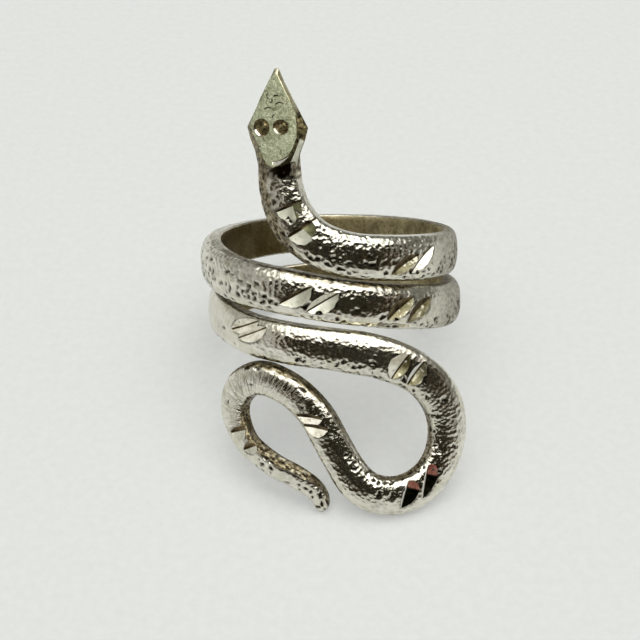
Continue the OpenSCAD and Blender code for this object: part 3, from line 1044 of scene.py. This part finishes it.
def wire_finish():
    """Polished, punched silver, with tarnish on its walls and in its hollows, and painted shade under
    the chin.
    """
    material, tree = new_finish("hammered silver")
    tarnish, dark_marks_and_chin_shade = parts(tree, mapped(tree, "wear"))[:2]
    fine, dull = parts(tree, mapped(tree, "marks"))[:2]
    strokes, crusted = parts(tree, mapped(tree, "strokes"))[:2]
    patches = grey_noise(tree, on_course(tree, 0.8, 1.2), 3.0, 0.6)
    grain = grey_noise(tree, on_course(tree, 7.0, 7.0, 3.0), 2.0, 0.6)
    blotch = grey_noise(tree, on_course(tree, 2.2, 2.6, 9.0), 3.0, 0.65, 0.42, 0.6)
    crust = grey_noise(tree, on_course(tree, 3.0, 3.6, 14.0), 3.0, 0.7, 0.42, 0.60)
    lines = grey_noise(tree, on_course(tree, 5.5, 0.9, 5.0, STROKE_SLANT), 3.0, 0.6, 0.46, 0.66)
    silver = mixed(tree, patches, (0.90, 0.88, 0.79), (0.70, 0.67, 0.55))
    tan = mixed(tree, blotch, (0.37, 0.34, 0.26), (0.095, 0.076, 0.04))
    brown = mixed(tree, crust, (0.08, 0.058, 0.027), (0.60, 0.53, 0.39))
    dark_brown = mixed(tree, crust, (0.014, 0.010, 0.004), (0.27, 0.225, 0.12))
    brown = mixed(tree, crusted, brown, dark_brown)
    tarnish = times(tree, tarnish, spread(tree, blotch, 1.5, 1.0))
    tarnish = math_of(tree, "MINIMUM", tarnish, 1.0)
    base = mixed(tree, times(tree, dull, dull, 0.75), silver, tan)
    base = mixed(tree, times(tree, lines, strokes, 0.6), base, (0.30, 0.26, 0.17))
    base = mixed(tree, tarnish, base, brown)
    # Near-black for pits, stained dents and the cuts' outlines, and as painted shade under the chin
    base = mixed(tree, dark_marks_and_chin_shade, base, (0.025, 0.018, 0.009))
    rough = math_of(tree, "ADD", spread(tree, grain, 0.09, 0.16),
                    times(tree, tarnish, 0.25),
                    times(tree, dull, 0.22))
    cells = add(tree, "TexVoronoi", {"Vector": on_course(tree, 3.4, 3.4), "Scale": 1.0},
                voronoi_dimensions="2D").outputs[0]
    punched = bumped(tree, cells, fine, 0.030)
    scored = bumped(tree, lines, strokes, 0.035, punched)
    metal(tree, base, rough, bumped(tree, grain, 0.2, 0.012, scored))
    return material


def band_finish():
    """The inside of the coil, tarnished dark olive brown, paler in patches and towards the right."""
    material, tree = new_finish("tarnished band")
    clouds = grey_noise(tree, in_space(tree, 0.34), 4.0, 0.6, 0.32, 0.72)
    grain = grey_noise(tree, in_space(tree, 4.0), 3.0, 0.7)
    dark = mixed(tree, grain, (0.055, 0.040, 0.012), (0.13, 0.098, 0.036))
    pale = mixed(tree, grain, (0.38, 0.32, 0.17), (0.84, 0.74, 0.46))
    sideways = parts(tree, add(tree, "TexCoord").outputs["Object"])[0]
    # Paler towards the right and darker towards the left
    worn = ramp(tree, sideways, BAND_DARK_X * MM, BAND_PALE_X * MM, 0.3, 1.8)
    base = mixed(tree, times(tree, clouds, worn), dark, pale)
    metal(tree, base, spread(tree, clouds, 0.5, 0.32), bumped(tree, grain, 0.35, 0.03))
    return material


def filed(name, dark, light, smoothest, roughest, bare, stained, worn):
    """A facet straight from the file, with its fine lines, stained or worn in spots."""
    material, tree = new_finish(name)
    lines = grey_noise(tree, on_course(tree, 0.7, 12.0), 1.0)
    clouds = grey_noise(tree, in_space(tree, 1.2), 3.0, 0.6, 0.35, 0.65)
    base = mixed(tree, clouds, dark, light)
    specks = grey_noise(tree, in_space(tree, 3.0), 4.0, 0.7, 0.58, 0.68)
    base = mixed(tree, times(tree, specks, stained), base, (0.20, 0.15, 0.08))
    if worn:
        spots = grey_noise(tree, in_space(tree, 1.7), 3.0, 0.65, 0.56, 0.62)
        base = mixed(tree, times(tree, spots, worn), base, (0.80, 0.78, 0.64))
    metal(tree, base, spread(tree, lines, smoothest, roughest),
          bumped(tree, lines, 0.12, 0.010), bare)
    return material


def painted_reflection_cut_finish():
    """Facets painted dark as a painted reflection of the dark room, and reddish at one end."""
    material, tree = new_finish("dark cut silver")
    clouds = grey_noise(tree, in_space(tree, 2.5), 3.0, 0.6, 0.35, 0.65)
    end = ramp(tree, parts(tree, on_course(tree, 1.0, 1.0))[0], 0.30, 0.45)
    # The dark colour is a painted reflection of the dark room
    dark = mixed(tree, clouds, (0.022, 0.030, 0.018), (0.10, 0.11, 0.075))
    red = mixed(tree, clouds, (0.30, 0.10, 0.075), (0.55, 0.25, 0.18))
    metal(tree, mixed(tree, end, dark, red), spread(tree, clouds, 0.12, 0.24),
          bumped(tree, clouds, 0.2, 0.015), spread(tree, end, 1.0, 0.75))
    return material


def face_finish():
    """The head's face, matt and fine-grained, greenish grey."""
    material, tree = new_finish("matt face silver")
    grain = grey_noise(tree, in_space(tree, 4.0), 4.0, 0.8, 0.35, 0.65)
    clouds = grey_noise(tree, in_space(tree, 1.1), 4.0, 0.7, 0.38, 0.62)
    base = mixed(tree, grain, (0.34, 0.37, 0.22), (0.70, 0.73, 0.54))
    stain = mixed(tree, grain, (0.14, 0.14, 0.07), (0.50, 0.52, 0.34))
    base = mixed(tree, times(tree, clouds, 0.75), base, stain)
    metal(tree, base, spread(tree, grain, 0.55, 0.34), bumped(tree, grain, 0.8, 0.05))
    return material


def head_at_rest(x, y, z):
    """A point of the head as it lies, in millimetres."""
    return rest_turn() @ ON_HEAD @ Vector((x, y, z)) - rest_origin


def painted_light_bevel_finish():
    """The head's edges: a painted highlight of pale yellow silver at the tip, and painted shade, dark
    and grainy, lower down and on the left.
    """
    material, tree = new_finish("head edge silver with painted light")
    grain = grey_noise(tree, in_space(tree, 3.5), 4.0, 0.75, 0.42, 0.66)
    clouds = grey_noise(tree, in_space(tree, 1.2), 3.0, 0.6, 0.35, 0.65)
    where = parts(tree, add(tree, "TexCoord").outputs["Object"])
    # Painted highlight high on the head, painted shade lower down and left of its middle
    low = soft_ramp(tree, where[2], PAINTED_HIGHLIGHT_FROM * MM, PAINTED_SHADE_FROM * MM)
    middle = head_at_rest(-PAINTED_SHADE_LEFT, HEAD_L, 0).x
    left = soft_ramp(tree, where[0], middle * MM, (middle - 0.3) * MM)
    low = math_of(tree, "MAXIMUM", low, left)
    corner, chin = (head_at_rest(1.0, y, 1.0).z * MM for y in (CORNER_Y, CHIN_Y))
    speckled = math_of(tree, "MAXIMUM", ramp(tree, where[2], chin, corner, 0.1, 1.0), left)
    dark = mixed(tree, times(tree, grain, speckled), (0.022, 0.017, 0.007),
                 (0.46, 0.39, 0.20))
    # The pale yellow is the painted highlight, the dark grain the painted shade
    pale = mixed(tree, clouds, (0.97, 0.92, 0.68), (0.74, 0.68, 0.42))
    metal(tree, mixed(tree, low, pale, dark), spread(tree, low, 0.15, 0.38),
          bumped(tree, grain, 0.4, 0.035))
    return material


def eye_finish():
    """Stamped eyes, dark brown with tarnish."""
    material, tree = new_finish("tarnished eye")
    grain = grey_noise(tree, in_space(tree, 4.5), 3.0, 0.7, 0.35, 0.65)
    base = mixed(tree, grain, (0.050, 0.036, 0.014), (0.38, 0.31, 0.17))
    metal(tree, base, spread(tree, grain, 0.35, 0.5), bumped(tree, grain, 0.6, 0.05))
    return material


MAKERS = {
    "wire": wire_finish, "band": band_finish, "dark cut": painted_reflection_cut_finish,
    "face": face_finish, "bevel": painted_light_bevel_finish, "eye": eye_finish,
}
FINISHES = ("wire", "band", "cut", "matt cut", "olive cut", "shaded cut", "pale cut",
            "edge cut", "dark cut", "groove", "face", "bevel", "eye")


# The ring

places, first = wire_places()
rings = [wire_ring(place) for place in places]
leaned = [rest_turn() @ point for ring in rings for point in ring]
leaned += [rest_turn() @ ON_HEAD @ Vector(p) for layer in HEAD_RINGS for p in layer]
low = [min(p[c] for p in leaned) for c in range(3)]
high = [max(p[c] for p in leaned) for c in range(3)]
rest_origin = Vector(((low[0] + high[0]) / 2, (low[1] + high[1]) / 2, low[2]))

finishes = [MAKERS[name]() if name in MAKERS else filed(*FILED[name]) for name in FINISHES]
cuts = all_cuts()
work = as_object("wire", bent_wire(places, rings, first), finishes)
tools = (
    (as_object("plate", head_plate(), finishes), "UNION"),
    (as_object("file", joined(cuts[0::3] + [scratch(*row) for row in SCRATCHES]), finishes),
     "DIFFERENCE"),
    (as_object("stamp", joined(cuts[1::3] + [eye_stamp(*row) for row in EYES]), finishes),
     "DIFFERENCE"),
    (as_object("second file", joined(cuts[2::3]), finishes), "DIFFERENCE"),
)
ring_mesh = worked(work, tools)
crisp(ring_mesh)
ring_mesh.transform(Matrix.Scale(MM, 4) @ Matrix.Translation(-rest_origin) @ rest_turn())
ring_mesh.name = "silver_snake"
ring = bpy.data.objects.new("silver_snake", ring_mesh)
bpy.context.scene.collection.objects.link(ring)
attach(ring, "root")
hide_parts("snake_ring")


# The floor, the light and the camera

def pale_floor():
    material, tree = new_finish("pale paper")
    grain = grey_noise(tree, in_space(tree, 1.5), 4.0, 0.6)
    base = mixed(tree, grain, (0.26, 0.266, 0.261), (0.277, 0.283, 0.277))
    shader = add(tree, "BsdfPrincipled", {"Base Color": base, "Roughness": 0.75,
                                          "Normal": bumped(tree, grain, 0.15, 0.05)})
    add(tree, "OutputMaterial", {"Surface": shader.outputs["BSDF"]})
    bm = bmesh.new()
    bmesh.ops.create_grid(bm, x_segments=4, y_segments=4, size=1.5)
    return as_object("floor", bm, [material])


pale_floor()


def studio_world():
    """White studio all round, with the dark room behind the photographer."""
    world = bpy.data.worlds.new("studio")
    world.use_nodes = True
    tree = world.node_tree
    tree.nodes.clear()
    facing = add(tree, "TexCoord").outputs["Generated"]
    way = parts(tree, facing)
    rise = math_of(tree, "ARCSINE", way[2], 0.0)
    turn = math_of(tree, "ARCTAN2", way[0], times(tree, way[1], -1.0))
    off = []
    for angle, middle, width, power in ((rise, DARK_RISE, DARK_HEIGHT, 2.0),
                                        (turn, DARK_TURN, DARK_WIDTH, 4.0)):
        share = times(tree, math_of(tree, "ADD", angle, -middle), 1 / width)
        off.append(math_of(tree, "POWER", math_of(tree, "ABSOLUTE", share, 0.0), power))
    off = math_of(tree, "ADD", *off)
    dark = soft_ramp(tree, off, 1.25, 0.7)
    deep = soft_ramp(tree, off, 0.95, 0.55)
    upward = add(tree, "VectorMath", {0: facing, 1: Vector(TOP_LIGHT).normalized()},
                 operation="DOT_PRODUCT").outputs["Value"]
    top = soft_ramp(tree, upward, math.cos(TOP_EDGE), math.cos(TOP_CORE))
    left = soft_ramp(tree, way[0], 0.0, -0.9)
    sides = mixed(tree, left, (0.20, 0.195, 0.175), (0.46, 0.455, 0.425))
    light = mixed(tree, top, sides, (2.5, 2.48, 2.36))
    patches = grey_noise(tree, add(tree, "Mapping", {
        "Vector": facing, "Scale": (5.0, 5.0, 9.0),
    }).outputs["Vector"], 3.0, 0.6, 0.50, 0.62)
    inmost = mixed(tree, patches, (0.006, 0.008, 0.005), (0.060, 0.042, 0.020))
    room = mixed(tree, deep, (0.15, 0.09, 0.045), inmost)
    seen = mixed(tree, dark, light, room)
    reflected = add(tree, "Background", {"Color": seen, "Strength": 1.0}).outputs[0]
    plain = add(tree, "Background", {"Color": (0.75, 0.76, 0.74, 1.0)}).outputs[0]
    straight = add(tree, "LightPath").outputs["Is Camera Ray"]
    both = add(tree, "MixShader", {0: straight, 1: reflected, 2: plain}).outputs[0]
    add(tree, "OutputWorld", {"Surface": both})
    bpy.context.scene.world = world


studio_world()


def soft_light(name, place, power, size, shade, shadows):
    light = bpy.data.lights.new(name, "AREA")
    light.shape = "DISK"
    light.size = size
    light.energy = power
    light.color = shade
    light.use_shadow = shadows
    lamp = bpy.data.objects.new(name, light)
    lamp.location = place
    lamp.rotation_euler = (-Vector(place)).to_track_quat("-Z", "Y").to_euler()
    lamp.visible_glossy = shadows
    bpy.context.scene.collection.objects.link(lamp)


soft_light("window", (0.06, 0.10, 0.34), 0.15, 0.22, (1.0, 0.98, 0.94), True)
soft_light("fill", (0.0, 0.0, 0.9), 18.5, 1.2, (1.0, 1.0, 1.0), False)

LENS_PIXELS = 1200
SUBJECT = (332, 250)
MIDDLE = 320
CAMERA_RISE = math.radians(9.5)
CAMERA_DISTANCE = 95.8


def photo_camera():
    """The camera, set up against the ring on its finger axis, then laid down with it."""
    back = Vector((0, -math.cos(CAMERA_RISE), math.sin(CAMERA_RISE)))
    ray = Vector(((SUBJECT[0] - MIDDLE) / LENS_PIXELS, -(SUBJECT[1] - MIDDLE) / LENS_PIXELS, -1))
    right = (-back).cross(Vector((0, 0, 1))).normalized()
    axes = Matrix((right, right.cross(-back), back)).transposed()
    swing = Vector((0, 0, -1)).rotation_difference(ray.normalized()).to_matrix()
    turn = rest_turn().to_3x3()
    data = bpy.data.cameras.new("photo camera")
    data.sensor_width = 36
    data.lens = 36 * LENS_PIXELS / (2 * MIDDLE)
    data.clip_start = 0.005
    camera = bpy.data.objects.new("photo camera", data)
    camera.matrix_world = (turn @ axes @ swing.transposed()).to_4x4()
    camera.location = (turn @ back * CAMERA_DISTANCE - rest_origin) * MM
    bpy.context.scene.collection.objects.link(camera)
    bpy.context.scene.camera = camera


photo_camera()
bpy.context.scene.view_settings.view_transform = "Standard"
